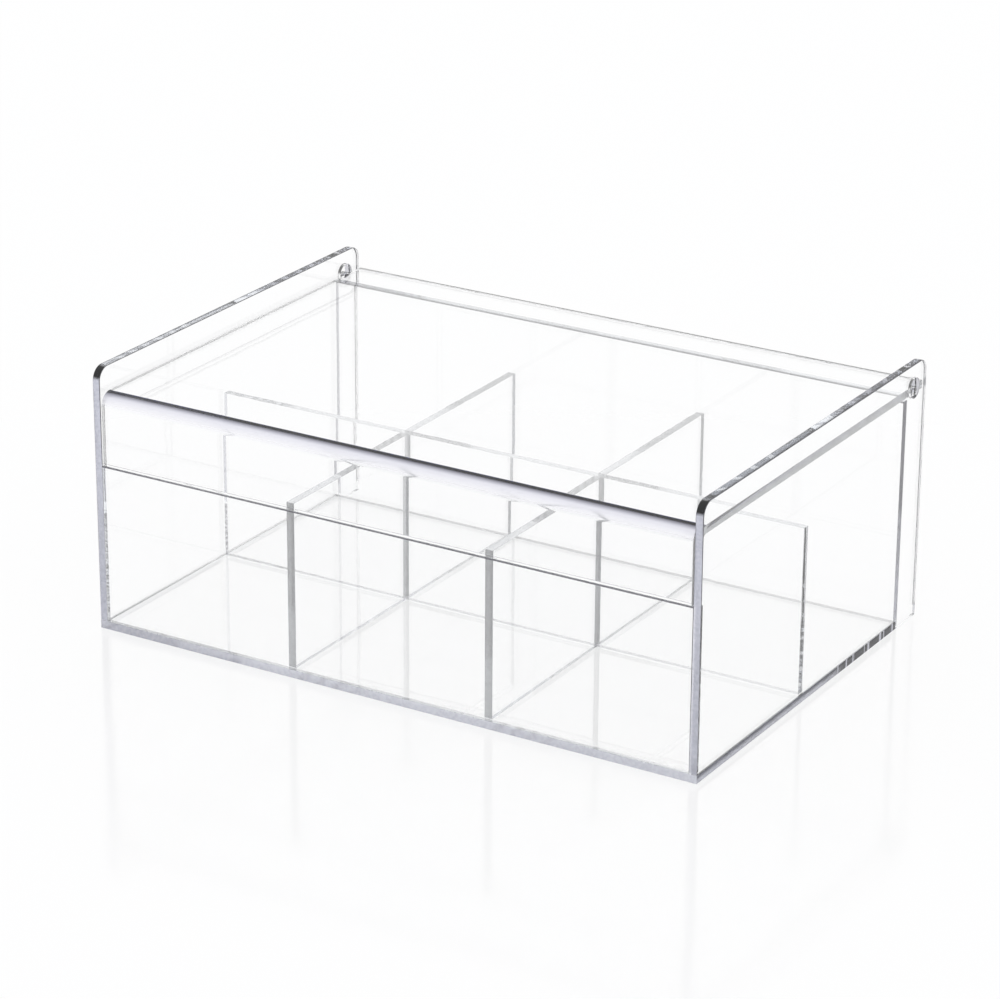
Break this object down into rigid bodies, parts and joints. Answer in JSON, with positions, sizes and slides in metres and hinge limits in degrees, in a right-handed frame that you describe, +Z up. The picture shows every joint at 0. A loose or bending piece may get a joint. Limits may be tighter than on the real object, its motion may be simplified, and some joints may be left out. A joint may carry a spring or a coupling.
{
  "type": "tea bag box",
  "caption": "Clear acrylic box with a grid of open compartments, tall side panels with rounded corners, and a bent lid that wraps over the front and hinges between them at the back.",
  "frame": {"origin": "on the table, below the middle of the bounding box", "axes": "+Z up; the front panel and the lid's flap face -Y and the hinge is at +Y; +X to the right seen from the front"},
  "size_m": [0.24, 0.164, 0.098],
  "materials": {
    "clear_acrylic": "clear, colourless, polished faces and polished edges"
  },
  "bodies": {
    "case": {"base": "clear_acrylic", "left_side_panel": "clear_acrylic", "right_side_panel": "clear_acrylic", "front_panel": "clear_acrylic", "back_panel": "clear_acrylic", "long_divider": "clear_acrylic", "front_cross_divider_1": "clear_acrylic", "front_cross_divider_2": "clear_acrylic", "rear_cross_divider_1": "clear_acrylic", "rear_cross_divider_2": "clear_acrylic"},
    "lid": {"lid": "clear_acrylic"}
  },
  "joints": [
    {"name": "lid_hinge", "type": "hinge", "parent": "case", "child": "lid", "pos_m": [0, 0.073, 0.089], "axis": [-1, 0, 0], "range_deg": [0, 95]}
  ]
}
